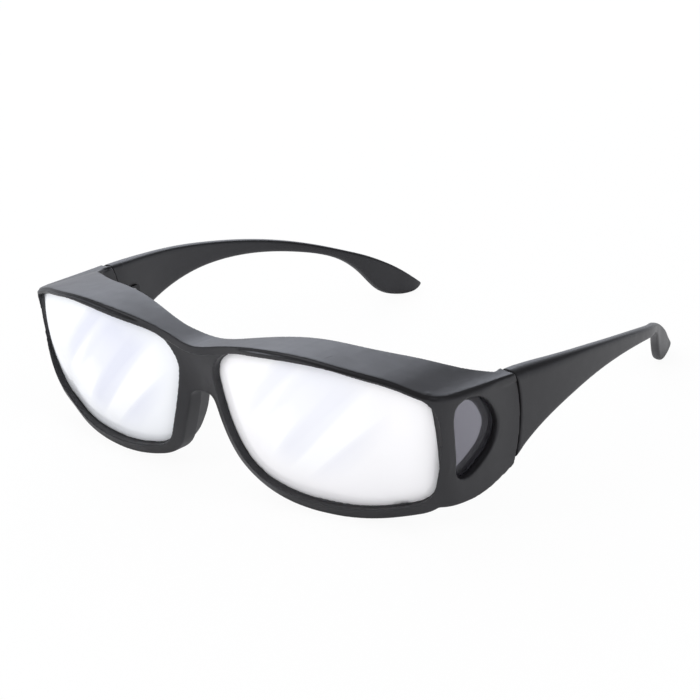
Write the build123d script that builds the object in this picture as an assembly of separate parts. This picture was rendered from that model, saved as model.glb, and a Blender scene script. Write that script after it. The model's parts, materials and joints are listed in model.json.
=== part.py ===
from build123d import *
import os
from math import cos, radians, sin, tan

# Fitover sunglasses, worn over ordinary glasses. Millimetres, +Z up, +X to the wearer's left,
# +Y back towards the ears. While modelling, y = 0 is the front of the lens centres and z = 0 the
# surface that the lower rims stand on; at the end everything is centred over its footprint.

# Front, seen from the front: its size, the openings in it and its bridge
frame_height = 46.0
frame_half_width = 72.5
frame_edge_width = 4.4
bridge_gap = 12.2
opening_width = frame_half_width - frame_edge_width - bridge_gap / 2
opening_centre_x = (bridge_gap + opening_width) / 2
opening_centre_z = 23.9
opening_height = 41.0

# Lens face: each lens is part of a doubly curved surface
lens_centre_shift = 0.3
lens_centre_x = opening_centre_x + lens_centre_shift
lens_centre_z = 24.5
lens_radius_across = 51.7
lens_radius_up = 57.1
wrap_angle = 10.1
face_tilt_angle = 12.2
lens_thickness = 1.7
lens_recess = 2.3
lens_edge_recess = 1.0
lens_lip = 0.7
lens_clearance = 0.03

# Corners, where the front turns into the side shields
corner_inset = 5.3
corner_run = 6.3
corner_x = frame_half_width - corner_inset
corner_across = corner_x - lens_centre_x
corner_y = tan(radians(wrap_angle)) * corner_across + corner_across * corner_across / (2 * lens_radius_across)
lens_rear_run = 4.5
lens_rear_y = corner_y + lens_rear_run
opening_rear_run = 5.4
opening_rear_y = corner_y + opening_rear_run

# Lens opening: the four corners of its outline
opening_corner_shares = ((-0.508, 0.353), (0.487, 0.345), (0.44, -0.371), (-0.363, -0.414))
opening_bulge_shares = ((0.0, 0.498), (0.497, 0.0), (0.01, -0.505), (-0.474, 0.0))
opening_corner_radii = (8.5, 9.5, 10.0, 11.0)

# Front wall, rims and bridge
rim_width = 3.2
rim_depth = 5.0
bridge_setback = 6.0
bridge_tilt_angle = 16.7
bridge_half_width = 8.5
bridge_under_height = 26.0
arch_radius = 3.0
level_shares = (-0.04, 0.25, 0.5, 0.75, 1.06)
front_station_shares = (0.313, 0.539, 0.755, 0.917)

# Side shields
shield_depth = 4.8
shield_flare_angle = 5.5
shield_lean_angle = 2.5
shield_front_run = 5.6
shield_front_y = corner_y + shield_front_run
shield_floor_inset = 8.0
shield_floor_x = frame_half_width - shield_floor_inset
shield_under_height = 6.6
shield_rear_rise = 4.5
shield_length = 26.5
shield_rear_y = shield_front_y + shield_length
shield_top_step = 4.7
shield_top_y = shield_rear_y - shield_top_step
shield_low_step = 1.3
shield_low_y = shield_rear_y - shield_low_step
shield_low_height = 12.8
roll_radius = 2.8
roll_centre_share = 0.92

# Side window, a teardrop in the shield, and its smoke lens
window_centre_run = 8.3
window_centre_y = shield_front_y + window_centre_run
window_centre_z = 24.7
window_length = 17.7
window_height = 22.0
window_outline_shares = (
    (-0.39, -0.33),
    (-0.435, 0.0),
    (-0.485, 0.25),
    (-0.46, 0.43),
    (-0.29, 0.5),
    (-0.05, 0.485),
    (0.17, 0.40),
    (0.37, 0.23),
    (0.5, -0.01),
    (0.38, -0.25),
    (0.17, -0.385),
    (-0.1, -0.49),
    (-0.29, -0.475),
)
side_lens_recess = 1.9
side_lens_thickness = 1.2
side_lens_lip = 0.6
window_ledge = 1.8

# Brow: the shelf over the lenses
brow_thickness = 2.2
brow_slope_angle = 2.4
brow_lip_height = 0.8
brow_setback = 0.8
brow_overhang = 0.5
brow_side_inset = 0.35
brow_place_shares = (0.0, 0.1, 0.21, 0.36, 0.53, 0.69, 0.83, 0.93, 1.03)
brow_height_shares = (0.878, 0.906, 0.949, 0.991, 0.999, 0.963, 0.909, 0.852, 0.85)
shelf_place_shares = (0.0, 0.11, 0.25, 0.41, 0.58, 0.745, 0.855, 0.918, 0.935)
shelf_depth_shares = (0.235, 0.212, 0.245, 0.311, 0.383, 0.541, 0.683, 0.82, 1.2)

# Nose flanges
flange_thickness = 2.2
flange_splay_angle = 11.0
flange_upper_depth = 10.7
flange_middle_depth = 12.6
flange_lower_depth = 4.5
flange_lower_height = 2.6

# Temples. Each row is one cut across the arm: how far back it is, how far out its outer face
# stands, its top and lower edges, its thickness and the rounding of its outer top edge
temple_thickness = 5.0
temple_length = 124.3
temple_end_y = shield_rear_y + temple_length
temple_rounding_share = 0.28
temple_row_shares = (
    (0.113, 1.015, 0.784, 0.44, 0.86, 0.85),
    (0.185, 1.019, 0.764, 0.496, 0.74, 0.65),
    (0.253, 1.0185, 0.742, 0.532, 0.68, 0.5),
    (0.322, 1.014, 0.715, 0.551, 0.64, 0.42),
    (0.394, 1.0045, 0.683, 0.553, 0.62, 0.38),
    (0.531, 0.9715, 0.609, 0.518, 0.62, 0.34),
    (0.636, 0.923, 0.535, 0.461, 0.62, 0.32),
    (0.708, 0.870, 0.472, 0.405, 0.62, 0.32),
    (0.764, 0.830, 0.415, 0.328, 0.62, 0.32),
    (0.8125, 0.7945, 0.363, 0.208, 0.62, 0.32),
    (0.861, 0.7655, 0.300, 0.066, 0.62, 0.32),
    (0.909, 0.739, 0.226, 0.012, 0.60, 0.32),
    (0.957, 0.711, 0.135, 0.0, 0.54, 0.26),
    (0.9855, 0.6966, 0.078, 0.016, 0.42, 0.18),
    (1.0, 0.687, 0.051, 0.038, 0.24, 0.05),
)

# Hinges: metal leaves, knuckles and screws
joint_gap = 0.3
axis_inset = 6.1
axis_x = frame_half_width - axis_inset
axis_step = 0.2
axis_y = shield_rear_y - axis_step
hinge_height = 25.0
knuckle_radius = 1.6
knuckle_length = 2.6
knuckle_gap = 0.1
leaf_thickness = 0.9
leaf_length = 7.8
leaf_corner_radius = 1.0
pin_radius = 0.7
pin_clearance = 0.04
pin_head_radius = 1.3
pin_head_height = 0.7
slot_width = 0.35
slot_depth = 0.35
leaf_screw_radius = 0.6
leaf_screw_head_radius = 1.1
leaf_screw_length = 3.0
leaf_screw_inset = 2.4
leaf_screw_rise = 2.2
seat_clearance = 0.02
relief_clearance = 0.35

# One overrun for every cut
overrun = 3.0
reach = 2.0 * frame_half_width

offset_share_count = 14


def front_face_y(x, z):
    """How far back the rims' front face lies at a place across and up."""
    across = abs(x) - lens_centre_x
    up = z - lens_centre_z
    wrap = tan(radians(wrap_angle)) * across + across * across / (2 * lens_radius_across)
    tilt = up * up / (2 * lens_radius_up) - tan(radians(face_tilt_angle)) * up
    return wrap + tilt


def bridge_face_y(z):
    """How far back the bridge's front face lies on the middle line."""
    return bridge_setback - tan(radians(bridge_tilt_angle)) * (z - lens_centre_z)


def side_x(y, z):
    """The outer face of a side shield at a place back and up."""
    flare = tan(radians(shield_flare_angle)) * (y - axis_y)
    lean = tan(radians(shield_lean_angle)) * (z - bridge_under_height - hinge_height / 2)
    return frame_half_width + flare + lean


def wall_path(z):
    """The outer line of the front and both shields at one height, from right hinge to left."""
    bend_y = front_face_y(corner_x, z)
    turn_y = bend_y + corner_run
    rear_y = axis_y + overrun
    half = [(bridge_half_width, front_face_y(bridge_half_width, z))]
    for share in front_station_shares:
        x = share * corner_x
        half.append((x, front_face_y(x, z)))
    half.append((corner_x, bend_y))
    for y in (turn_y, (turn_y + rear_y) / 2, rear_y):
        half.append((side_x(y, z), y))
    right = [(-x, y, z) for x, y in reversed(half)]
    left = [(x, y, z) for x, y in half]
    return Spline(*right, (0, bridge_face_y(z), z), *left)


def wall_section(z, outer_depth, inner_depth, side_outer_depth, side_inner_depth):
    """The wall cut at one height, between two depths at the front and two at the sides."""
    path = wall_path(z)
    shares = [i / (2 * offset_share_count) for i in range(2 * offset_share_count + 1)]

    def line_at(front_depth, side_depth):
        points = []
        for share in shares:
            place = path @ share
            along = path % share
            inward = Vector(-along.Y, along.X, 0)
            blend = (abs(place.X) - lens_centre_x) / (corner_x - lens_centre_x)
            blend = min(max(blend, 0), 1)
            points.append(place + inward * (front_depth + (side_depth - front_depth) * blend))
        return Spline(*points)

    outer = path if outer_depth == 0 else line_at(outer_depth, side_outer_depth)
    inner = line_at(inner_depth, side_inner_depth)
    ends = (Line(outer @ 0, inner @ 0), Line(outer @ 1, inner @ 1))
    return Face(Wire([outer, inner, *ends]))


def wall_band(outer_depth, inner_depth, side_outer_depth, side_inner_depth):
    """The wrap-round wall between two depths at the front and two at the sides."""
    sections = []
    for share in level_shares:
        height = share * frame_height
        sections.append(wall_section(height, outer_depth, inner_depth, side_outer_depth, side_inner_depth))
    return loft(sections)


def both_sides(thing):
    return thing + mirror(thing, about=Plane.YZ)


def opening_outline(grow):
    """The left lens opening seen from the front, grown by a margin."""

    def place(share):
        x = opening_centre_x + share[0] * opening_width
        z = opening_centre_z + share[1] * opening_height
        return (x, 0, z)

    corners = [place(share) for share in opening_corner_shares]
    bulges = [place(share) for share in opening_bulge_shares]
    arcs = [ThreePointArc(corners[i], bulges[i], corners[(i + 1) % 4]) for i in range(4)]
    face = Face(Wire(arcs))
    for corner, radius in zip(corners, opening_corner_radii):
        vertex = face.vertices().sort_by_distance(corner)[0]
        face = face.fillet_2d(radius, [vertex])
    centre = Vector(opening_centre_x, 0, opening_centre_z)
    grown = []
    for edge in face.outer_wire().edges():
        through = []
        for share in (0, 0.5, 1):
            along = edge % share
            outward = Vector(-along.Z, 0, along.X)
            if outward.dot(edge @ share - centre) < 0:
                outward = -outward
            through.append(edge @ share + outward * grow)
        grown.append(ThreePointArc(*through))
    return Face(Wire(grown))


def opening_hole(grow, rear_y):
    """The left opening, grown by a margin, in front of a plane that tilts with the lens."""
    hole = extrude(opening_outline(grow), amount=reach, both=True)
    block = Box(reach, reach, reach, align=(Align.MIN, Align.MIN, Align.CENTER))
    behind = Pos(0, rear_y, lens_centre_z) * Rot(face_tilt_angle, 0, 0) * block
    return hole - behind


def brow_line(drop):
    """The brow's top seen from the front, lowered by a drop."""
    half = []
    for place, height in zip(brow_place_shares, brow_height_shares):
        half.append((place * frame_half_width, 0, height * frame_height - drop))
    right = [(-x, y, z) for x, y, z in reversed(half[1:])]
    return Spline(*right, *half)


def below_line(line, bottom):
    """The upright face under a line down to a height."""
    first = line @ 0
    last = line @ 1
    low_first = Vector(first.X, 0, bottom)
    low_last = Vector(last.X, 0, bottom)
    return Face(Wire([line, Line(last, low_last), Line(low_last, low_first), Line(low_first, first)]))


def rearward():
    slope = radians(brow_slope_angle)
    return Vector(0, cos(slope), -sin(slope))


def sloped_block(face):
    """A front view outline carried back along the brow's slope."""
    start = face.moved(Location(rearward() * -overrun * 2))
    return extrude(start, amount=reach, dir=rearward())


def front_outline_block():
    """Everything inside the front's outline, seen from the front."""
    low = bridge_under_height
    above = extrude(below_line(brow_line(-overrun), low), amount=reach, both=True)
    rims = extrude(opening_outline(rim_width), amount=reach, both=True)
    rounded = above + both_sides(rims)
    arch = []
    for edge in rounded.edges().filter_by(Axis.Y):
        middle = edge.center()
        if abs(middle.X) < bridge_half_width and abs(middle.Z - low) < arch_radius:
            arch.append(edge)
    rounded = fillet(arch, arch_radius)
    shield_low = shield_under_height
    shield = Pos(shield_floor_x + overrun * 2, 0, (low + shield_low) / 2 + overrun) * Box(
        overrun * 4, reach, low - shield_low + overrun * 2
    )
    top_limit = sloped_block(below_line(brow_line(brow_lip_height), -overrun))
    return (rounded + both_sides(shield)) & top_limit


def shield_rear_arc(y_gap):
    """The parting arc between shield and temple, moved back by a gap."""
    top = (0, shield_top_y + y_gap, frame_height * brow_height_shares[-1])
    middle = (0, shield_rear_y + y_gap, hinge_height - leaf_screw_rise * 2)
    low = (0, shield_low_y + y_gap, shield_under_height + shield_rear_rise)
    return ThreePointArc(top, middle, low)


def shield_side_block():
    """Everything in front of the parting arc and above the shield's lower edge."""
    arc = shield_rear_arc(0)
    high = arc @ 0
    low = arc @ 1
    ceiling = frame_height + overrun
    floor = -overrun * 2
    front = -overrun * 4
    under_start = Vector(0, shield_front_y + corner_run, shield_under_height)
    under = Spline(low, under_start, tangents=[Vector(0, -2, -1), Vector(0, -1, 0)])
    floor_corner = Vector(0, under_start.Y, floor)
    outline = [
        arc,
        under,
        Line(under_start, floor_corner),
        Line(floor_corner, Vector(0, front, floor)),
        Line(Vector(0, front, floor), Vector(0, front, ceiling)),
        Line(Vector(0, front, ceiling), Vector(0, high.Y, ceiling)),
        Line(Vector(0, high.Y, ceiling), high),
    ]
    return extrude(Face(Wire(outline)), amount=reach, both=True)


def half_line(points):
    """A curve from the middle plane outwards that its mirror image continues smoothly."""
    end_run = Vector(*points[-1]) - Vector(*points[-2])
    return Spline(*points, tangents=[Vector(1, 0, 0), end_run])


def brow_shelf():
    """The left half of the flat shelf over the lenses: front lip, side and curved rear edge."""
    front = []
    for place, height in zip(brow_place_shares[:-1], brow_height_shares):
        x = place * frame_half_width
        z = height * frame_height
        if x < bridge_half_width:
            blend = x / bridge_half_width
            face_y = bridge_face_y(z) * (1 - blend) + front_face_y(bridge_half_width, z) * blend
            setback = -brow_overhang
        else:
            face_y = front_face_y(x, z)
            setback = brow_setback
        front.append((x, face_y + setback, 0))
    rear = []
    for place, depth in zip(shelf_place_shares, shelf_depth_shares):
        rear.append((place * frame_half_width, depth * shield_rear_y, 0))
    top_z = frame_height * brow_height_shares[-1]
    side = []
    for y in (front[-1][1] + corner_run, shield_rear_y):
        side.append((side_x(y, top_z) - brow_side_inset, y, 0))
    outer = half_line(front + side)
    inner = half_line(rear)
    ends = (Line(inner @ 0, outer @ 0), Line(outer @ 1, inner @ 1))
    plan = extrude(Face(Wire([outer, inner, *ends])), amount=reach, both=True)
    top = sloped_block(below_line(brow_line(0), -overrun))
    under = sloped_block(below_line(brow_line(brow_thickness), -overrun * 2))
    return plan & (top - under)


def shield_top_height(y):
    """The height of the shield's upper edge at a place back along it."""
    return brow_height_shares[-1] * frame_height - tan(radians(brow_slope_angle)) * y


def shield_top_roll():
    """The cutter that rounds the long upper edge of the left shield."""
    top = shield_top_height(0)
    start = Vector(side_x(0, top), 0, top)
    end = Vector(side_x(reach, top), reach, shield_top_height(reach))
    frame = Plane(origin=start, x_dir=Vector(1, 0, 0), z_dir=start - end)
    inset = roll_radius * roll_centre_share
    size = inset + overrun
    square = Pos(-inset, -inset) * Rectangle(size, size, align=(Align.MIN, Align.MIN))
    profile = square - Pos(-inset, -inset) * Circle(roll_radius)
    return extrude(frame * profile, amount=-reach)


def window_plane():
    """The plane of the left shield's outer face at the middle of its window."""
    flare = tan(radians(shield_flare_angle))
    lean = tan(radians(shield_lean_angle))
    origin = Vector(side_x(window_centre_y, window_centre_z), window_centre_y, window_centre_z)
    return Plane(origin=origin, x_dir=Vector(flare, 1, 0), z_dir=Vector(1, -flare, -lean))


def window_block(grow, outer_depth, inner_depth):
    """The window's outline between two depths under the shield's outer face."""
    points = [Vector(along * window_length, up * window_height) for along, up in window_outline_shares]
    grown = []
    for i, point in enumerate(points):
        along = (points[(i + 1) % len(points)] - points[i - 1]).normalized()
        grown.append(point + Vector(-along.Y, along.X) * grow)
    outline = Face(Wire([Spline(*grown, periodic=True)]))
    placed = window_plane() * Pos(0, 0, -inner_depth) * outline
    return extrude(placed, amount=inner_depth - outer_depth, dir=window_plane().z_dir)


def nose_flange():
    """The left nose flange: a splayed wall behind the nose side of the rim."""
    outer = opening_outline(rim_width)
    inner = opening_outline(rim_width - flange_thickness)
    band = outer - inner
    splay = Vector(sin(radians(flange_splay_angle)), cos(radians(flange_splay_angle)), 0)
    start = band.moved(Location(splay * -reach / 2 + Vector(0, bridge_setback, 0)))
    wall = extrude(start, amount=reach, dir=splay)
    upper = bridge_under_height + rim_width / 2
    front_x = bridge_half_width
    low = flange_lower_height
    middle = (upper + low) / 2 + rim_width
    rear = Spline(
        (0, front_face_y(front_x, upper) + flange_upper_depth, upper),
        (0, front_face_y(front_x, middle) + flange_middle_depth, middle),
        (0, front_face_y(front_x, low) + flange_lower_depth, low),
    )
    front = Line(
        (0, front_face_y(front_x, upper) + lens_recess, upper),
        (0, front_face_y(front_x, low) + lens_recess, low),
    )
    side_face = Face(Wire([rear, front, Line(rear @ 0, front @ 0), Line(rear @ 1, front @ 1)]))
    return wall & extrude(side_face, amount=opening_centre_x - opening_width / 4, dir=(1, 0, 0))


def front_frame():
    """The one-piece front: rims, bridge, brow shelf, nose flanges and side shields."""
    left_of_middle = Box(reach, reach * 2, reach * 2, align=(Align.MIN, Align.CENTER, Align.CENTER))
    wall = wall_band(0, rim_depth, 0, shield_depth)
    front = wall & left_of_middle & front_outline_block() & shield_side_block()
    front -= opening_hole(0, opening_rear_y)
    front += brow_shelf() & shield_side_block()
    front += nose_flange()
    groove_front = lens_recess - lens_clearance
    groove_depth = lens_thickness + lens_clearance * 2
    groove_rear = groove_front + groove_depth
    edge_front = lens_edge_recess - lens_clearance
    edge_rear = edge_front + groove_depth
    lens_room = wall_band(-overrun, groove_rear, -overrun, edge_rear) & opening_hole(0, opening_rear_y)
    front -= lens_room
    groove = wall_band(groove_front, groove_rear, edge_front, edge_rear)
    front -= groove & opening_hole(lens_lip + lens_clearance, lens_rear_y + lens_clearance)
    front -= shield_top_roll()
    seat_depth = side_lens_recess + side_lens_thickness + lens_clearance
    front -= window_block(-window_ledge, -overrun, shield_depth + overrun)
    front -= window_block(0, -overrun, seat_depth)
    slot_front = side_lens_recess - lens_clearance
    front -= window_block(side_lens_lip + lens_clearance, slot_front, seat_depth)
    front -= leaf_seat(-1)
    front -= knuckle_relief()
    front -= leaf_screw_holes(-1)
    return both_sides(front)


def main_lens():
    """The left lens, a curved plate whose edge sits in the rim's groove."""
    edge_rear = lens_edge_recess + lens_thickness
    slab = wall_band(lens_recess, lens_recess + lens_thickness, lens_edge_recess, edge_rear)
    return slab & opening_hole(lens_lip, lens_rear_y)


def side_lens():
    """The left shield's smoke lens, a flat plate in the window's slot."""
    return window_block(side_lens_lip, side_lens_recess, side_lens_recess + side_lens_thickness)


def rounded_section(corners, radii, y):
    """A four-cornered cut through a temple, each corner rounded by its own radius."""
    points = [Vector(x, y, z) for x, z in corners]
    arcs = []
    for i, radius in enumerate(radii):
        corner = points[i]
        before = (points[i - 1] - corner).normalized()
        after = (points[(i + 1) % 4] - corner).normalized()
        half_turn = radians(before.get_angle(after)) / 2
        middle = (before + after).normalized()
        run = radius / tan(half_turn)
        crown = corner + middle * (radius / sin(half_turn) - radius)
        arcs.append(ThreePointArc(corner + before * run, crown, corner + after * run))
    edges = []
    for i in range(4):
        edges.append(arcs[i])
        edges.append(Line(arcs[i] @ 1, arcs[(i + 1) % 4] @ 0))
    return Face(Wire(edges))


def temple_row(y, base_x, top, under, thickness, top_round):
    """One cut across the left arm, leaning with the shield's face."""
    lean = tan(radians(shield_lean_angle))
    lean_height = bridge_under_height + hinge_height / 2
    top_x = base_x + lean * (top - lean_height)
    under_x = base_x + lean * (under - lean_height)
    corners = [(under_x - thickness, under), (under_x, under), (top_x, top), (top_x - thickness, top)]
    small = temple_rounding_share * min(thickness, top - under)
    return rounded_section(corners, (small, small, top_round, small), y)


def temple():
    """The left arm: a tall root at the hinge, a slender bow and a drooping ear end."""
    length = temple_end_y - shield_rear_y
    sections = []
    for y, under in ((shield_top_y - overrun, shield_under_height), (shield_rear_y, shield_low_height)):
        top = shield_top_height(y)
        base_x = side_x(y, bridge_under_height + hinge_height / 2)
        sections.append(temple_row(y, base_x, top, under, temple_thickness, roll_radius))
    for place, outer, top, under, thick, rounding in temple_row_shares:
        row = temple_row(
            shield_rear_y + place * length,
            outer * frame_half_width,
            top * frame_height,
            under * frame_height,
            thick * temple_thickness,
            rounding * roll_radius,
        )
        sections.append(row)
    arm = loft(sections)
    return arm - in_front_of_arc(joint_gap)


def in_front_of_arc(y_gap):
    """Everything in front of the parting arc moved back by a gap."""
    arc = shield_rear_arc(y_gap)
    ceiling = frame_height + overrun
    corners = [arc @ 0, Vector(0, (arc @ 0).Y, ceiling), Vector(0, -reach, ceiling)]
    corners += [Vector(0, -reach, -overrun), Vector(0, (arc @ 1).Y, -overrun), arc @ 1]
    edges = [Line(corners[i], corners[i + 1]) for i in range(len(corners) - 1)]
    return extrude(Face(Wire([arc, *edges])), amount=reach, both=True)


def leaf_height():
    return 3 * knuckle_length + 2 * knuckle_gap


def seat_x():
    """The plane that both hinge leaves lie against."""
    return axis_x + knuckle_radius


def knuckle_middle(index):
    """The height of a knuckle's middle: -1 is the lowest, 1 the highest."""
    return hinge_height + index * (knuckle_length + knuckle_gap)


def leaf_plate(toward, grow):
    """A leaf's plate, forward (-1) or back (+1) of the axis, grown by a margin."""
    near = knuckle_radius + knuckle_gap * 2
    length = leaf_length - near
    plate = Box(leaf_thickness + grow * 2, length + grow * 2, leaf_height() + grow * 2)
    plate = fillet(plate.edges().filter_by(Axis.X), leaf_corner_radius)
    return Pos(seat_x() - leaf_thickness / 2, axis_y + toward * (near + length / 2), hinge_height) * plate


def leaf_seat(toward):
    """The pocket in the plastic that a leaf lies in, open to the inside."""
    length = knuckle_radius + knuckle_gap * 2 + leaf_corner_radius
    height = leaf_height() + seat_clearance * 2
    throat = Box(leaf_thickness + seat_clearance * 2, length, height)
    pocket = leaf_plate(toward, seat_clearance)
    pocket += Pos(seat_x() - leaf_thickness / 2, axis_y + toward * length / 2, hinge_height) * throat
    inward = Pos(-leaf_thickness, 0, 0) * pocket
    return pocket + inward


def knuckle(index, radius):
    return Pos(axis_x, axis_y, knuckle_middle(index)) * Cylinder(radius, knuckle_length)


def leaf_tab(toward, index):
    """The strap that joins a plate to its knuckle."""
    length = knuckle_radius + knuckle_gap * 2 + leaf_corner_radius
    strap = Box(leaf_thickness, length, knuckle_length)
    return Pos(seat_x() - leaf_thickness / 2, axis_y + toward * length / 2, knuckle_middle(index)) * strap


def knuckle_relief():
    """The round clearance in the plastic about all three knuckles and the screw's head."""
    radius = knuckle_radius + relief_clearance
    bottom = hinge_height - leaf_height() / 2 - relief_clearance
    height = leaf_height() + pin_head_height + relief_clearance * 2
    well = Cylinder(radius, height, align=(Align.CENTER, Align.CENTER, Align.MIN))
    return Pos(axis_x, axis_y, bottom) * well


def leaf_screw_places(toward):
    y = axis_y + toward * (leaf_length - leaf_screw_inset)
    return [(y, hinge_height - leaf_screw_rise), (y, hinge_height + leaf_screw_rise)]


def screw_body(y, z, grow):
    """One countersunk leaf screw, its head flush with the leaf's inner face."""
    head_depth = leaf_screw_head_radius - leaf_screw_radius
    face_x = seat_x() - leaf_thickness
    turned = Location((face_x, y, z), (0, 90, 0))
    head = Cone(
        leaf_screw_head_radius + grow,
        leaf_screw_radius + grow,
        head_depth,
        align=(Align.CENTER, Align.CENTER, Align.MIN),
    )
    shank = Cylinder(
        leaf_screw_radius + grow,
        leaf_screw_length + grow,
        align=(Align.CENTER, Align.CENTER, Align.MIN),
    )
    return turned * (head + shank)


def leaf_screws(toward):
    """The two screws that hold one leaf."""
    screws = []
    for y, z in leaf_screw_places(toward):
        slot = Pos(seat_x() - leaf_thickness, y, z) * Box(slot_depth * 2, leaf_screw_head_radius * 2, slot_width)
        screws.append(screw_body(y, z, 0) - slot)
    return Compound(children=screws)


def leaf_screw_holes(toward):
    holes = Part()
    for y, z in leaf_screw_places(toward):
        holes += screw_body(y, z, seat_clearance)
    return holes


def hinge_leaf(toward, knuckle_indexes):
    """A metal leaf: a plate in the plastic's pocket, and the knuckles round the axis."""
    leaf = leaf_plate(toward, 0)
    for index in knuckle_indexes:
        leaf += leaf_tab(toward, index) + knuckle(index, knuckle_radius)
    bore = Cylinder(pin_radius + pin_clearance, leaf_height() + overrun)
    leaf -= Pos(axis_x, axis_y, hinge_height) * bore
    return leaf - leaf_screw_holes(toward)


def hinge_screw():
    """The hinge pin: a slotted pan-head screw down through the three knuckles."""
    top = hinge_height + leaf_height() / 2
    shank = Cylinder(pin_radius, leaf_height(), align=(Align.CENTER, Align.CENTER, Align.MAX))
    head = Cylinder(pin_head_radius, pin_head_height, align=(Align.CENTER, Align.CENTER, Align.MIN))
    rim = head.edges().filter_by(GeomType.CIRCLE).sort_by(Axis.Z)[-1]
    head = fillet([rim], pin_head_height / 2)
    slot = Pos(0, 0, pin_head_height) * Box(pin_head_radius * 2, slot_width, slot_depth * 2)
    return Pos(axis_x, axis_y, top) * (shank + head - slot)


def fitted_temple():
    """The left arm with the pocket, screw holes and knuckle clearance of its hinge."""
    arm = temple()
    arm -= leaf_seat(1)
    arm -= knuckle_relief()
    return arm - leaf_screw_holes(1)


def all_nodes():
    """Every piece by its node name; the right side mirrors the left."""
    left = {
        "lens": main_lens(),
        "side_lens": side_lens(),
        "temple": fitted_temple(),
        "hinge_leaf_front": hinge_leaf(-1, (-1, 1)),
        "hinge_leaf_temple": hinge_leaf(1, (0,)),
        "hinge_screw": hinge_screw(),
        "leaf_screws_front": leaf_screws(-1),
        "leaf_screws_temple": leaf_screws(1),
    }
    nodes = {"front_frame": front_frame()}
    for name, piece in left.items():
        nodes[name + "_left"] = piece
        nodes[name + "_right"] = mirror(piece, about=Plane.YZ)
    return nodes


def main():
    nodes = all_nodes()
    boxes = [piece.bounding_box() for piece in nodes.values()]
    middle_y = (min(box.min.Y for box in boxes) + max(box.max.Y for box in boxes)) / 2
    lowest = min(box.min.Z for box in boxes)
    os.makedirs("parts", exist_ok=True)
    for name, piece in nodes.items():
        export_step(piece.moved(Location((0, -middle_y, -lowest))), "parts/" + name + ".step")
    print("middle_y", middle_y, "lowest", lowest)


main()
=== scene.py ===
import json
from math import cos, radians, sin, tan

import bpy
from mathutils import Matrix, Vector
from mathutils.bvhtree import BVHTree

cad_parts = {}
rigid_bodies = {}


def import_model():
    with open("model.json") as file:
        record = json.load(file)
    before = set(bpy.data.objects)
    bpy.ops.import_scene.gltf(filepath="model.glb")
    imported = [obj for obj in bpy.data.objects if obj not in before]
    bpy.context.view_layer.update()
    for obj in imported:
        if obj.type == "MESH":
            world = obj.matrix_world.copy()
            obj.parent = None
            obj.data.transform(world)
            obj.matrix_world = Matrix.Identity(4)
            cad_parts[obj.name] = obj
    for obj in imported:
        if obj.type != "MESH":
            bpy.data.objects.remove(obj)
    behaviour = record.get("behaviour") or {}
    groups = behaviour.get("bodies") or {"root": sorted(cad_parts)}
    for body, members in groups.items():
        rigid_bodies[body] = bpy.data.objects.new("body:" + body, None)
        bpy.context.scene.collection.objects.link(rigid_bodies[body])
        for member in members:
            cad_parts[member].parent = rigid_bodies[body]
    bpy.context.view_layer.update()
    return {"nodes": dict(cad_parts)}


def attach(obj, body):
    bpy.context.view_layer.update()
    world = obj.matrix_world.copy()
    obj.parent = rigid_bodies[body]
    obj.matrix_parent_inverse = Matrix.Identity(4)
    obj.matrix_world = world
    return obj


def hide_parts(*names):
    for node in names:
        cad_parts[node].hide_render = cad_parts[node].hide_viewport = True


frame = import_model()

MM = 0.001
SIDES = ("left", "right")

# Where the CAD model's own drawing plane lies in this frame: the front of the lens centres and
# the surface that the lower rims stand on
DATUM_Y = -84.144 * MM
DATUM_Z = 0.029 * MM

# Camera: the photograph's viewing angle, in the drawing plane's own millimetres
CAMERA_PLACE = (321.35, -354.76, 219.02)
CAMERA_AZIMUTH = 37.22
CAMERA_ELEVATION = 20.63
CAMERA_ROLL = 0.07
PHOTO_SIZE = 700
PHOTO_FOCAL = 1996.9
SENSOR_WIDTH = 36.0
NEAR_CLIP = 0.01
FAR_CLIP = 20

# Studio: the sky's level on matte surfaces, how dim and how bright its reflections are, their
# cast, and where its bright parts lie, each as a direction and the cosines between which it fades
SKY_LEVEL = 0.85
STUDIO_LEVELS = (0.05, 1.0)
WHITE = (1, 1, 1, 1)
REFLECTION_CAST = (0.90, 0.925, 1.0, 1)
LOW_BAND = ((0, 0, -1), (-0.30, -0.12))
BACK_PANEL = ((-0.62, 0.68, 0.42), (0.70, 0.96))

# Floor: its size, its finish, and how much of its white is its own
FLOOR_SIZE = 6
FLOOR_COLOUR = (0.93, 0.93, 0.94, 1)
FLOOR_ROUGHNESS = 0.7
FLOOR_SPECULAR = 0.2
FLOOR_GLOW_SHARE = 0.93

# Lamps: name, place, the point that it faces, size, power and colour
LAMPS = (
    ("key_softbox", (-0.35, -1.1, 0.75), (0, 0, 0.02), (0.9, 0.9), 5.5, (1, 1, 1)),
    ("rear_softbox", (-0.72, 0.80, 0.52), (0, 0, 0.03), (0.9, 0.5), 3.1, (0.86, 0.90, 1.0)),
)

# Charcoal plastic: its shades, its polish and its fine grain
PLASTIC_SHADES = ((0.3, (0.0125, 0.0120, 0.0125)), (0.7, (0.0155, 0.0150, 0.0160)))
PLASTIC_ROUGHNESS = (0.40, 0.48)
PLASTIC_SPECULAR = 0.47
PLASTIC_SPECULAR_TINT = (0.93, 0.94, 1.0, 1)
GRAIN_STRENGTH = 0.15
GRAIN_DEPTH = 0.03 * MM

# Lens: the slant and stretch of its streaks of painted reflection, their levels, the patch of lens that
# they lie on and how it fades, and the light colour of the painted streaks
STREAK_ANGLE = 43
STREAK_STRETCH = (1, 40, 14)
STREAK_LEVELS = ((0.42, 0.0), (0.50, 0.35), (0.55, 1.0))
STREAK_PATCH = (0.019, 1, 0.021)
STREAK_FADE = (0.55, 1.15)
# Light colour of the painted reflection streaks
PAINTED_STREAK_LIGHT = (0.97, 0.98, 1.0)
LENS_ROUGHNESS = 0.16
LENS_COAT = 0.4
LENS_COAT_ROUGHNESS = 0.06
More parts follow.
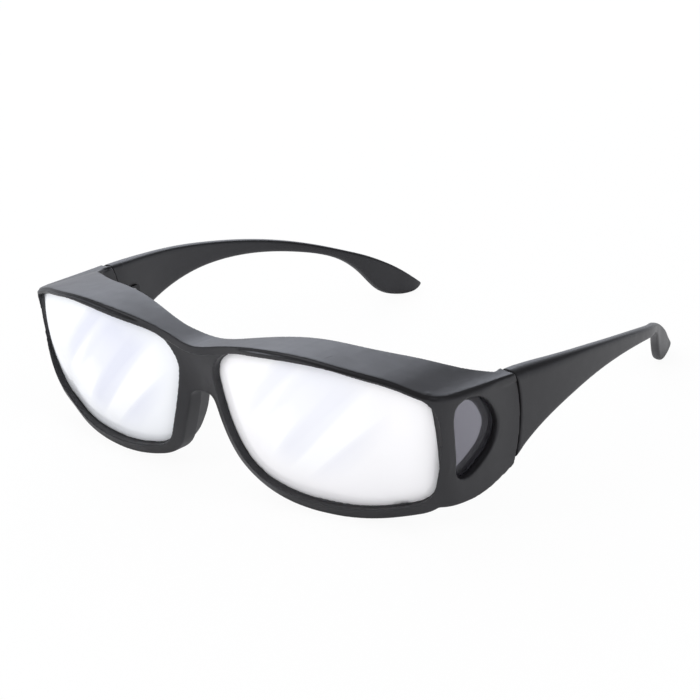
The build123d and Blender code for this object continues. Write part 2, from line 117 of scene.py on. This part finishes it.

# Each lens: where its streaks of painted reflection lie, its own cast, and the dark colour of its painted
# streaks
LENS_TINTS_AND_PAINTED_STREAKS = {
    "left": ((0.036, -0.083, 0.031), (0.97, 0.965, 0.985), (0.85, 0.86, 0.92)),
    # The right lens's cast and the dark of its streaks are a little darker and bluer than the left's: painted
    # shade on a copy of the same lens
    "right": ((-0.032, -0.083, 0.0277), (0.93, 0.95, 0.985), (0.75, 0.77, 0.87)),
}

# Smoke lens: its shades and how clear it is
SMOKE_SHADES = ((0.3, (0.235, 0.230, 0.262)), (0.7, (0.26, 0.255, 0.29)))
SMOKE_ROUGHNESS = 0.05
SMOKE_CLEARNESS = 0.9
SMOKE_INDEX = 1.2

# Hinge metals: their colours and polish, and the faint marks of drawing along them
PLATE_COLOUR = (0.045, 0.045, 0.048)
PLATE_ROUGHNESS = 0.38
SCREW_COLOUR = (0.30, 0.30, 0.31)
SCREW_ROUGHNESS = 0.3
DRAW_STRETCH = (1, 0.1, 1)
DRAW_SHADE = 0.85

# Moulded pieces: voxel size, smoothing passes and face budget of their rounded meshes
MERGE_DISTANCE = 0.002 * MM
MOULDED_VOXEL = 0.2 * MM
SMOOTHING_FACTOR = 0.5
CRISP_PASSES = 2
SOFT_PASSES = 10
FRONT_PASSES = 26
ARM_PASSES = 50
MOULDED_FACES = 190000
LENS_CREASE_ANGLE = 30
FRONT_CREASE_ANGLE = 40

# Margins: round a seated piece and along the seam of shield and arm, where points stay crisp, a
# wider one along the seam, where they don't round broadly, and one round each lens, where flat
# tops don't settle
SEAT_MARGIN = 1.2 * MM
SEAM_MARGIN = 0.8 * MM
BROAD_SEAM_MARGIN = 3.5 * MM
SLIT_MARGIN = 2.6 * MM

# Where the broad rounding acts: below the brow's crease, on the shields and the arms, and on
# flat tops
CREASE_HEIGHT = 36 * MM
SHIELD_X = 66 * MM
SHIELD_Y = 14 * MM + DATUM_Y
SEAM_X = 60 * MM
SEAM_Y = 44 * MM + DATUM_Y
FLAT_TOP = 0.93

# Cutters, in the drawing plane: how far they reach to the front and the rear, a drop that lies
# over the whole brow, and the block that trims the lenses' outer ends
CUTTER_FRONT = -10
CUTTER_REAR = 40
OVER_BROW = -10
BLOCK_HALF = 20
BLOCK_STRETCH = (5, 1, 3)

# Ledge under the brow, in the drawing plane: its height at the front for every 5 mm from the
# middle, how it falls to the rear, and drops from it to the rim's band and the brow's top
LEDGE_STEP = 5
LEDGE_HEIGHTS = (
    39.59, 40.3, 41.59, 42.8, 43.85, 44.65, 45.15, 45.29,
    45.02, 44.38, 43.5, 42.49, 41.08, 39.16, 37.94,
)
LEDGE_SLOPE = 2.4
RIM_BAND = 0.9
BAND_TOP = 0.05
PLUG_FOOT = 0.1
BROW_TOP = -0.76
TOP_TURN = 34

# Outer end of each lens, in the drawing plane: a tilted plane, and the band of rim before it
END_Y = 18.94
END_Z = 22
END_TILT = 12.2
END_BAND = 1.3
END_TURN = 56

# Lower edge of a lens opening, in the drawing plane: where it starts at the nose and which way
# it heads there, then the radius and the turn of each arc round to the outer end
LOWER_EDGE_START = (8.23, 22.0)
LOWER_EDGE_HEADING = -73.95
LOWER_EDGE_ARCS = ((68.6, 9.49), (11.0, 49.78), (70.1, 33.35), (10.0, 55.51), (54.9, 10.65))
LOWER_EDGE_STEP = 1.2
OPENING_MIDDLE = (36, 24)
GROOVE_REACH = 3

# How a band reaches from the groove to the rim's face, and how the lenses sit under the bands
BAND_STEP = 0.55
BAND_COPIES = 2
BAND_GROWTH = 0.05
LENS_TOP_TRIM = 0.62
LENS_END_TRIM = 0.9
LENS_ROOM = 0.15
LENS_PIVOT_X = 6
LENS_SWING = 0.9


def in_frame(x, y, z):
    """A place in the drawing plane's millimetres, in this frame's metres."""
    return Vector((x * MM, y * MM + DATUM_Y, z * MM + DATUM_Z))


def outwards(side):
    """Which way along X a side lies."""
    return 1 if side == "left" else -1


def add_to_scene(thing):
    bpy.context.scene.collection.objects.link(thing)


def deselect_all():
    for thing in bpy.context.view_layer.objects:
        thing.select_set(False)
    bpy.context.view_layer.objects.active = None


def select_only(thing):
    deselect_all()
    thing.select_set(True)
    bpy.context.view_layer.objects.active = thing


def edit_all(piece, operation, **settings):
    """One edit mode operation on the whole mesh of a piece."""
    select_only(piece)
    bpy.ops.object.mode_set(mode="EDIT")
    bpy.ops.mesh.select_all(action="SELECT")
    operation(**settings)
    bpy.ops.object.mode_set(mode="OBJECT")


# Materials

def new_material(name):
    material = bpy.data.materials.new(name)
    material.use_nodes = True
    nodes = material.node_tree.nodes
    links = material.node_tree.links
    return material, nodes, links, nodes["Principled BSDF"]


def feed(links, part, socket):
    """Gives a socket a plain value or another node's output."""
    if isinstance(part, bpy.types.NodeSocket):
        links.new(part, socket)
    else:
        socket.default_value = part


def object_coordinates(nodes, links, scale=(1, 1, 1)):
    place = nodes.new("ShaderNodeTexCoord")
    mapping = nodes.new("ShaderNodeMapping")
    mapping.inputs["Scale"].default_value = scale
    links.new(place.outputs["Object"], mapping.inputs["Vector"])
    return mapping.outputs["Vector"]


def streak_coordinates(nodes, links, place, stretch):
    """Object coordinates about a place on a lens, slanted and stretched as its painted reflection streaks
    are.
    """
    source = nodes.new("ShaderNodeTexCoord")
    mapping = nodes.new("ShaderNodeMapping")
    mapping.vector_type = "TEXTURE"
    mapping.inputs["Location"].default_value = place
    mapping.inputs["Rotation"].default_value = (0, radians(STREAK_ANGLE), 0)
    mapping.inputs["Scale"].default_value = stretch
    links.new(source.outputs["Object"], mapping.inputs["Vector"])
    return mapping.outputs["Vector"]


def noise(nodes, links, vector, scale, detail=3, roughness=0.5):
    texture = nodes.new("ShaderNodeTexNoise")
    texture.inputs["Scale"].default_value = scale
    texture.inputs["Detail"].default_value = detail
    texture.inputs["Roughness"].default_value = roughness
    links.new(vector, texture.inputs["Vector"])
    return texture.outputs["Fac"]


def ramp(nodes, links, factor, stops):
    blend = nodes.new("ShaderNodeValToRGB")
    elements = blend.color_ramp.elements
    while len(elements) < len(stops):
        elements.new(0.5)
    for element, (place, colour) in zip(elements, stops):
        element.position = place
        element.color = (*colour, 1)
    links.new(factor, blend.inputs["Fac"])
    return blend.outputs["Color"]


def map_range(nodes, links, value, source=(0, 1), target=(0, 1), smooth=False):
    """Carries a value from one range to another."""
    node = nodes.new("ShaderNodeMapRange")
    if smooth:
        node.interpolation_type = "SMOOTHSTEP"
    limits = (("From Min", source[0]), ("From Max", source[1]), ("To Min", target[0]), ("To Max", target[1]))
    for name, limit in limits:
        node.inputs[name].default_value = limit
    links.new(value, node.inputs["Value"])
    return node.outputs["Result"]


def mix(nodes, links, factor, first, second, kind="RGBA"):
    """Blends two colours or two levels, each a plain value or a node's output."""
    blend = nodes.new("ShaderNodeMix")
    blend.data_type = kind
    links.new(factor, blend.inputs["Factor"])
    feed(links, first, blend.inputs["A"])
    feed(links, second, blend.inputs["B"])
    return blend.outputs["Result"]


def level_math(nodes, links, operation, first, second):
    node = nodes.new("ShaderNodeMath")
    node.operation = operation
    feed(links, first, node.inputs[0])
    feed(links, second, node.inputs[1])
    return node.outputs[0]


def vector_math(nodes, links, operation, vector, other=None):
    node = nodes.new("ShaderNodeVectorMath")
    node.operation = operation
    links.new(vector, node.inputs[0])
    if other is not None:
        node.inputs[1].default_value = other
    return node.outputs["Vector" if operation == "MULTIPLY" else "Value"]


def charcoal_plastic():
    """Matte moulded polycarbonate with a very fine spark-eroded grain."""
    material, nodes, links, shader = new_material("charcoal_plastic")
    vector = object_coordinates(nodes, links)
    cloud = noise(nodes, links, vector, scale=90, detail=4)
    links.new(ramp(nodes, links, cloud, PLASTIC_SHADES), shader.inputs["Base Color"])
    polish = noise(nodes, links, vector, scale=260)
    links.new(map_range(nodes, links, polish, target=PLASTIC_ROUGHNESS), shader.inputs["Roughness"])
    bump = nodes.new("ShaderNodeBump")
    bump.inputs["Strength"].default_value = GRAIN_STRENGTH
    bump.inputs["Distance"].default_value = GRAIN_DEPTH
    links.new(noise(nodes, links, vector, scale=5200, detail=2, roughness=0.6), bump.inputs["Height"])
    links.new(bump.outputs["Normal"], shader.inputs["Normal"])
    shader.inputs["Specular IOR Level"].default_value = PLASTIC_SPECULAR
    shader.inputs["Specular Tint"].default_value = PLASTIC_SPECULAR_TINT
    return material


def silver_lens(name, place, cast, painted_streak_dark):
    """Pale flash-coated lens: near white, with soft slanting light and dark streaks of painted reflection."""
    material, nodes, links, shader = new_material(name)
    slanted = streak_coordinates(nodes, links, place, STREAK_STRETCH)
    # Painted reflection: soft slanting streaks laid into the lens's colour, dark where the ramp is low
    streak = noise(nodes, links, slanted, scale=150, detail=0.6, roughness=0.4)
    stops = [(stop, (level, level, level)) for stop, level in STREAK_LEVELS]
    bands = ramp(nodes, links, streak, stops)
    painted_streaks = mix(nodes, links, bands, (*painted_streak_dark, 1), (*PAINTED_STREAK_LIGHT, 1))
    patch = streak_coordinates(nodes, links, place, STREAK_PATCH)
    from_middle = vector_math(nodes, links, "LENGTH", vector_math(nodes, links, "MULTIPLY", patch, (1, 0, 1)))
    fade = map_range(nodes, links, from_middle, STREAK_FADE, (1, 0), smooth=True)
    links.new(mix(nodes, links, fade, (*cast, 1), painted_streaks), shader.inputs["Base Color"])
    shader.inputs["Roughness"].default_value = LENS_ROUGHNESS
    shader.inputs["Coat Weight"].default_value = LENS_COAT
    shader.inputs["Coat Roughness"].default_value = LENS_COAT_ROUGHNESS
    return material


def smoke_lens():
    """Smoke tinted window, clear enough to show the wall behind it."""
    material, nodes, links, shader = new_material("smoke_lens")
    drift = noise(nodes, links, object_coordinates(nodes, links), scale=40, detail=2)
    links.new(ramp(nodes, links, drift, SMOKE_SHADES), shader.inputs["Base Color"])
    shader.inputs["Roughness"].default_value = SMOKE_ROUGHNESS
    shader.inputs["Transmission Weight"].default_value = SMOKE_CLEARNESS
    shader.inputs["IOR"].default_value = SMOKE_INDEX
    return material


def plated_metal(name, colour, roughness):
    """Plated hinge metal with a faint lengthwise draw."""
    material, nodes, links, shader = new_material(name)
    drawn = noise(nodes, links, object_coordinates(nodes, links, DRAW_STRETCH), scale=2500, detail=2)
    darker = tuple(DRAW_SHADE * part for part in colour)
    links.new(ramp(nodes, links, drawn, ((0.35, darker), (0.65, colour))), shader.inputs["Base Color"])
    shader.inputs["Metallic"].default_value = 1.0
    shader.inputs["Roughness"].default_value = roughness
    return material


def dress(thing, material):
    thing.data.materials.clear()
    thing.data.materials.append(material)


# Shaping of the mouldings and lenses

def merged_copy(node, name):
    """A copy of a CAD node with its loose triangles joined."""
    piece = bpy.data.objects.new(name, frame["nodes"][node].data.copy())
    add_to_scene(piece)
    edit_all(piece, bpy.ops.mesh.remove_doubles, threshold=MERGE_DISTANCE)
    return piece


def fatten(piece, amount):
    """Moves the whole skin of a piece outwards."""
    edit_all(piece, bpy.ops.transform.shrink_fatten, value=amount * MM)


def carve(piece, cutter, operation):
    """Takes the cutter's shape from a piece, or keeps only what both share, and drops the cutter."""
    select_only(piece)
    cut = piece.modifiers.new("carve", "BOOLEAN")
    cut.operation = operation
    cut.solver = "EXACT"
    cut.object = cutter
    bpy.ops.object.modifier_apply(modifier="carve")
    select_only(cutter)
    bpy.ops.object.delete()


def strip_cutter(name, rows, slope=0):
    """A strip between two outlines of the front view, carried back along a slope."""
    fall = tan(radians(slope))
    points = []
    for inner, outer in rows:
        corners = ((inner, CUTTER_FRONT), (inner, CUTTER_REAR), (outer, CUTTER_REAR), (outer, CUTTER_FRONT))
        for (x, z), y in corners:
            points.append(in_frame(x, y, z - fall * y))
    faces = [(0, 1, 2, 3)]
    for start in range(0, len(points) - 4, 4):
        for corner in range(4):
            after = (corner + 1) % 4
            faces.append((start + corner, start + 4 + corner, start + 4 + after, start + after))
    last = len(points) - 4
    faces.append((last + 3, last + 2, last + 1, last))
    mesh = bpy.data.meshes.new(name)
    mesh.from_pydata(points, [], faces)
    cutter = bpy.data.objects.new(name, mesh)
    add_to_scene(cutter)
    edit_all(cutter, bpy.ops.mesh.normals_make_consistent, inside=False)
    return cutter


def ledge_cutter(low_drop, high_drop):
    """All that lies between two drops under the brow's ledge, over the whole front."""
    half = [(step * LEDGE_STEP, height) for step, height in enumerate(LEDGE_HEIGHTS)]
    places = [(-x, z) for x, z in reversed(half[1:])] + half
    rows = [((x, z - low_drop), (x, z - high_drop)) for x, z in places]
    return strip_cutter("ledge_cutter", rows, LEDGE_SLOPE)


def lower_edge():
    """The lower edge of the left lens opening, walked arc by arc from the nose outwards."""
    x, z = LOWER_EDGE_START
    heading = radians(LOWER_EDGE_HEADING)
    points = [(x, z)]
    for radius, turn in LOWER_EDGE_ARCS:
        count = round(radius * radians(turn) / LOWER_EDGE_STEP)
        bend = radians(turn) / count
        chord = 2 * radius * sin(bend / 2)
        for _ in range(count):
            x += chord * cos(heading + bend / 2)
            z += chord * sin(heading + bend / 2)
            heading += bend
            points.append((x, z))
    return points


def groove_cutter(side):
    """The rim's groove along the lower edge of a lens opening, seen from the front."""
    out = outwards(side)
    rows = []
    for x, z in lower_edge():
        away = Vector((x - OPENING_MIDDLE[0], z - OPENING_MIDDLE[1])).normalized() * GROOVE_REACH
        rows.append(((out * x, z), (out * (x + away.x), z + away.y)))
    return strip_cutter("groove_cutter", rows)


def end_cutter(inset):
    """All that lies behind the outer ends of the lenses, drawn forward by an inset."""
    tilt = radians(END_TILT)
    place = in_frame(0, END_Y - inset + BLOCK_HALF * cos(tilt), END_Z + BLOCK_HALF * sin(tilt))
    bpy.ops.mesh.primitive_cube_add(size=2 * BLOCK_HALF * MM, location=place, rotation=(tilt, 0, 0))
    cutter = bpy.context.object
    cutter.scale = BLOCK_STRETCH
    bpy.ops.object.transform_apply(location=True, rotation=True, scale=True)
    return cutter


# Parts of the front that a lens's own shape gives

def lens_offcut(side, name, cutter):
    """What a cutter keeps of a lens, grown a little so that it fuses with the front."""
    piece = merged_copy("lens_" + side, name)
    carve(piece, cutter, "INTERSECT")
    fatten(piece, BAND_GROWTH)
    return piece


def groove_strip(side):
    """Fills the lower groove in front of the swung lens, flush with the opening's edge."""
    return lens_offcut(side, "groove_strip_" + side, groove_cutter(side))


def brow_plug(side):
    """Fills the brow over the top of the lens, flush with the brow."""
    return lens_offcut(side, "brow_plug_" + side, ledge_cutter(PLUG_FOOT, BROW_TOP))


def rim_band(side, part, cutter, turn):
    """A band of rim over a lens's edge, from the groove out to the rim's face."""
    band = lens_offcut(side, "rim_band_" + side + "_" + part, cutter)
    reach = BAND_STEP * MM
    move = (outwards(side) * sin(radians(turn)) * reach, -cos(radians(turn)) * reach, 0)
    bpy.ops.object.mode_set(mode="EDIT")
    bpy.ops.mesh.select_all(action="SELECT")
    for _ in range(BAND_COPIES):
        bpy.ops.mesh.duplicate_move(TRANSFORM_OT_translate={"value": move})
    bpy.ops.object.mode_set(mode="OBJECT")
    return band


def swung_lens(side, name):
    """A copy of a main lens, swung about its nose end so that its outer end lies deeper."""
    piece = merged_copy("lens_" + side, name)
    out = outwards(side)
    pivot = Matrix.Translation(in_frame(out * LENS_PIVOT_X, 0, 0))
    piece.matrix_world = pivot @ Matrix.Rotation(radians(out * LENS_SWING), 4, "Z") @ pivot.inverted()
    select_only(piece)
    bpy.ops.object.transform_apply(location=True, rotation=True, scale=True)
    return piece


def groove_filling(side):
    """A lens that fills its groove while the front is rounded."""
    piece = swung_lens(side, "groove_filling_" + side)
    carve(piece, ledge_cutter(BROW_TOP, OVER_BROW), "DIFFERENCE")
    fatten(piece, BAND_GROWTH)
    return piece


def coated_lens(side):
    """A main lens whose top and outer end stay under the rim's bands."""
    piece = swung_lens(side, "coated_lens_" + side)
    carve(piece, ledge_cutter(LENS_TOP_TRIM, OVER_BROW), "DIFFERENCE")
    carve(piece, end_cutter(LENS_END_TRIM), "DIFFERENCE")
    select_only(piece)
    bpy.ops.object.shade_smooth_by_angle(angle=radians(LENS_CREASE_ANGLE))
    return piece


def open_groove(front, lens):
    """Cuts the room of a lens out of the rounded front."""
    room = lens.copy()
    room.data = lens.data.copy()
    add_to_scene(room)
    fatten(room, LENS_ROOM)
    carve(front, room, "DIFFERENCE")


# Rounding of the mouldings

def soften(piece, name, passes, points=None):
    """Smoothing passes on the whole piece, or on the given points of it."""
    modifier = piece.modifiers.new(name, "SMOOTH")
    modifier.factor = SMOOTHING_FACTOR
    modifier.iterations = passes
    if points is not None:
        group = piece.vertex_groups.new(name=name)
        group.add(points, 1.0, "REPLACE")
        modifier.vertex_group = name
    bpy.ops.object.modifier_apply(modifier=name)


def settle(piece, original, points):
    """Lays the given points back on the moulded node's own surface."""
    group = piece.vertex_groups.new(name="settled")
    group.add(points, 1.0, "REPLACE")
    wrap = piece.modifiers.new("settle", "SHRINKWRAP")
    wrap.target = original
    wrap.wrap_method = "NEAREST_SURFACEPOINT"
    wrap.vertex_group = "settled"
    bpy.ops.object.modifier_apply(modifier="settle")


def surfaces(names):
    """The surfaces of the named nodes, ready for a nearest point search."""
    depsgraph = bpy.context.evaluated_depsgraph_get()
    return [BVHTree.FromObject(frame["nodes"][name], depsgraph) for name in names]


def near(place, trees, margin):
    return any(tree.find_nearest(place, margin)[0] is not None for tree in trees)


def rounding_zones(piece, seated, slits):
    """The points of a moulding that round softly, those that round broadly, and its flat tops."""
    seats = surfaces(seated)
    slit_edges = surfaces(slits)
    soft = []
    broad = []
    flat = []
    for point in piece.data.vertices:
        place = point.co
        from_seam = abs(place.y - SEAM_Y) if abs(place.x) > SEAM_X else BROAD_SEAM_MARGIN
        if from_seam < SEAM_MARGIN or near(place, seats, SEAT_MARGIN):
            continue
        soft.append(point.index)
        on_shield = abs(place.x) > SHIELD_X and place.y > SHIELD_Y
        on_arm = place.y > SEAM_Y
        on_top = point.normal.z > FLAT_TOP
        on_broad_form = place.z < CREASE_HEIGHT or on_shield or on_arm or on_top
        if on_broad_form and from_seam >= BROAD_SEAM_MARGIN:
            broad.append(point.index)
        if on_top and not on_arm and not near(place, slit_edges, SLIT_MARGIN):
            flat.append(point.index)
    return soft, broad, flat


def rounded_copy(node, name, seated, broad_passes, extras=(), slits=()):
    """A moulded node, and extras that fuse with it, with edges softened as a mould leaves them.

    Places that seat the given nodes, and the seam of shield and arm, stay crisp. Where nodes are
    named as slits, flat tops settle on the moulded node's own surface, apart from those beside
    the slits."""
    piece = merged_copy(node, name)
    if extras:
        for extra in extras:
            extra.select_set(True)
        bpy.ops.object.join()
    skin = piece.modifiers.new("skin", "REMESH")
    skin.mode = "VOXEL"
    skin.voxel_size = MOULDED_VOXEL
    skin.use_smooth_shade = True
    bpy.ops.object.modifier_apply(modifier="skin")
    soft, broad, flat = rounding_zones(piece, seated, slits)
    soften(piece, "crisp", CRISP_PASSES)
    soften(piece, "soft", SOFT_PASSES, soft)
    soften(piece, "broad", broad_passes, broad)
    if slits:
        settle(piece, frame["nodes"][node], flat)
        soften(piece, "even", CRISP_PASSES)
    triangles = sum(len(face.vertices) - 2 for face in piece.data.polygons)
    if triangles > MOULDED_FACES:
        thin = piece.modifiers.new("thin", "DECIMATE")
        thin.ratio = MOULDED_FACES / triangles
        bpy.ops.object.modifier_apply(modifier="thin")
    piece.vertex_groups.clear()
    bpy.ops.object.shade_smooth()
    return piece


def moulded_front():
    """The front with its grooves filled and its brow and rims whole, rounded in one."""
    extras = []
    for side in SIDES:
        extras += [groove_filling(side), groove_strip(side), brow_plug(side)]
        extras.append(rim_band(side, "top", ledge_cutter(RIM_BAND, BAND_TOP), TOP_TURN))
        extras.append(rim_band(side, "end", end_cutter(END_BAND), END_TURN))
    seated = [name + side for name in ("side_lens_", "hinge_leaf_front_") for side in SIDES]
    slits = ["lens_" + side for side in SIDES]
    return rounded_copy("front_frame", "moulded_front", seated, FRONT_PASSES, extras, slits)


def moulded_temple(side):
    seated = ["hinge_leaf_temple_" + side, "hinge_leaf_front_" + side]
    return rounded_copy("temple_" + side, "moulded_temple_" + side, seated, ARM_PASSES)


# Stage, lamps and camera

def stage_floor():
    """A white sweep that keeps a trace of the shadow."""
    bpy.ops.mesh.primitive_plane_add(size=FLOOR_SIZE, location=(0, 0, 0))
    floor = bpy.context.object
    floor.name = "floor"
    material, nodes, links, shader = new_material("floor_white")
    shader.inputs["Base Color"].default_value = FLOOR_COLOUR
    shader.inputs["Roughness"].default_value = FLOOR_ROUGHNESS
    shader.inputs["Specular IOR Level"].default_value = FLOOR_SPECULAR
    glow = nodes.new("ShaderNodeEmission")
    glow.inputs["Color"].default_value = WHITE
    path = nodes.new("ShaderNodeLightPath")
    share = level_math(nodes, links, "MULTIPLY", path.outputs["Is Camera Ray"], FLOOR_GLOW_SHARE)
    mixed = nodes.new("ShaderNodeMixShader")
    links.new(share, mixed.inputs["Fac"])
    links.new(shader.outputs["BSDF"], mixed.inputs[1])
    links.new(glow.outputs["Emission"], mixed.inputs[2])
    links.new(mixed.outputs["Shader"], nodes["Material Output"].inputs["Surface"])
    dress(floor, material)


def area_lamp(name, place, aim, size, power, colour):
    data = bpy.data.lights.new(name, "AREA")
    data.shape = "RECTANGLE"
    data.size, data.size_y = size
    data.energy = power
    data.color = colour
    lamp = bpy.data.objects.new(name, data)
    lamp.location = place
    lamp.rotation_euler = (Vector(aim) - Vector(place)).to_track_quat("-Z", "Y").to_euler()
    add_to_scene(lamp)


def studio_world():
    """White to the camera, and a studio that is white low down and behind, dim above and in front."""
    world = bpy.data.worlds.new("studio")
    bpy.context.scene.world = world
    world.use_nodes = True
    nodes = world.node_tree.nodes
    links = world.node_tree.links
    background = nodes["Background"]

    def bright_part(direction, cosines):
        """A smooth patch of the studio around one direction."""
        place = nodes.new("ShaderNodeTexCoord")
        aim = Vector(direction).normalized()
        dot = vector_math(nodes, links, "DOT_PRODUCT", place.outputs["Generated"], aim)
        return map_range(nodes, links, dot, cosines, smooth=True)

    bright = level_math(nodes, links, "MAXIMUM", bright_part(*LOW_BAND), bright_part(*BACK_PANEL))
    gloss = map_range(nodes, links, bright, target=STUDIO_LEVELS)
    path = nodes.new("ShaderNodeLightPath")
    lit = mix(nodes, links, path.outputs["Is Diffuse Ray"], gloss, SKY_LEVEL, "FLOAT")
    straight = (path.outputs["Is Camera Ray"], path.outputs["Is Transmission Ray"])
    seen = level_math(nodes, links, "MAXIMUM", *straight)
    strength = mix(nodes, links, seen, lit, 1.0, "FLOAT")
    links.new(strength, background.inputs["Strength"])
    cast = mix(nodes, links, path.outputs["Is Glossy Ray"], WHITE, REFLECTION_CAST)
    links.new(cast, background.inputs["Color"])


def photo_camera():
    data = bpy.data.cameras.new("photo_camera")
    data.sensor_width = SENSOR_WIDTH
    data.lens = PHOTO_FOCAL / PHOTO_SIZE * SENSOR_WIDTH
    data.clip_start = NEAR_CLIP
    data.clip_end = FAR_CLIP
    camera = bpy.data.objects.new("photo_camera", data)
    azimuth, elevation = radians(CAMERA_AZIMUTH), radians(CAMERA_ELEVATION)
    back = Vector((sin(azimuth) * cos(elevation), -cos(azimuth) * cos(elevation), sin(elevation)))
    turn = (-back).to_track_quat("-Z", "Y").to_matrix() @ Matrix.Rotation(radians(CAMERA_ROLL), 3, "Z")
    camera.matrix_world = Matrix.Translation(in_frame(*CAMERA_PLACE)) @ turn.to_4x4()
    add_to_scene(camera)
    bpy.context.scene.camera = camera


deselect_all()
charcoal = charcoal_plastic()
smoke = smoke_lens()
plate_metal = plated_metal("hinge_plate", PLATE_COLOUR, PLATE_ROUGHNESS)
screw_metal = plated_metal("screw_steel", SCREW_COLOUR, SCREW_ROUGHNESS)

front = moulded_front()
for side in SIDES:
    lens = coated_lens(side)
    open_groove(front, lens)
    dress(lens, silver_lens("silver_lens_" + side, *LENS_TINTS_AND_PAINTED_STREAKS[side]))
    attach(lens, "front")
    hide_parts("lens_" + side)
select_only(front)
bpy.ops.object.shade_smooth_by_angle(angle=radians(FRONT_CREASE_ANGLE))
dress(front, charcoal)
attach(front, "front")
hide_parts("front_frame")

for side in SIDES:
    arm = moulded_temple(side)
    dress(arm, charcoal)
    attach(arm, "temple_" + side)
    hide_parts("temple_" + side)
    dress(frame["nodes"]["side_lens_" + side], smoke)
    for name in ("hinge_leaf_front_", "hinge_leaf_temple_"):
        dress(frame["nodes"][name + side], plate_metal)
    for name in ("hinge_screw_", "leaf_screws_front_", "leaf_screws_temple_"):
        dress(frame["nodes"][name + side], screw_metal)

stage_floor()
studio_world()
for lamp in LAMPS:
    area_lamp(*lamp)
photo_camera()
bpy.context.scene.view_settings.view_transform = "Standard"
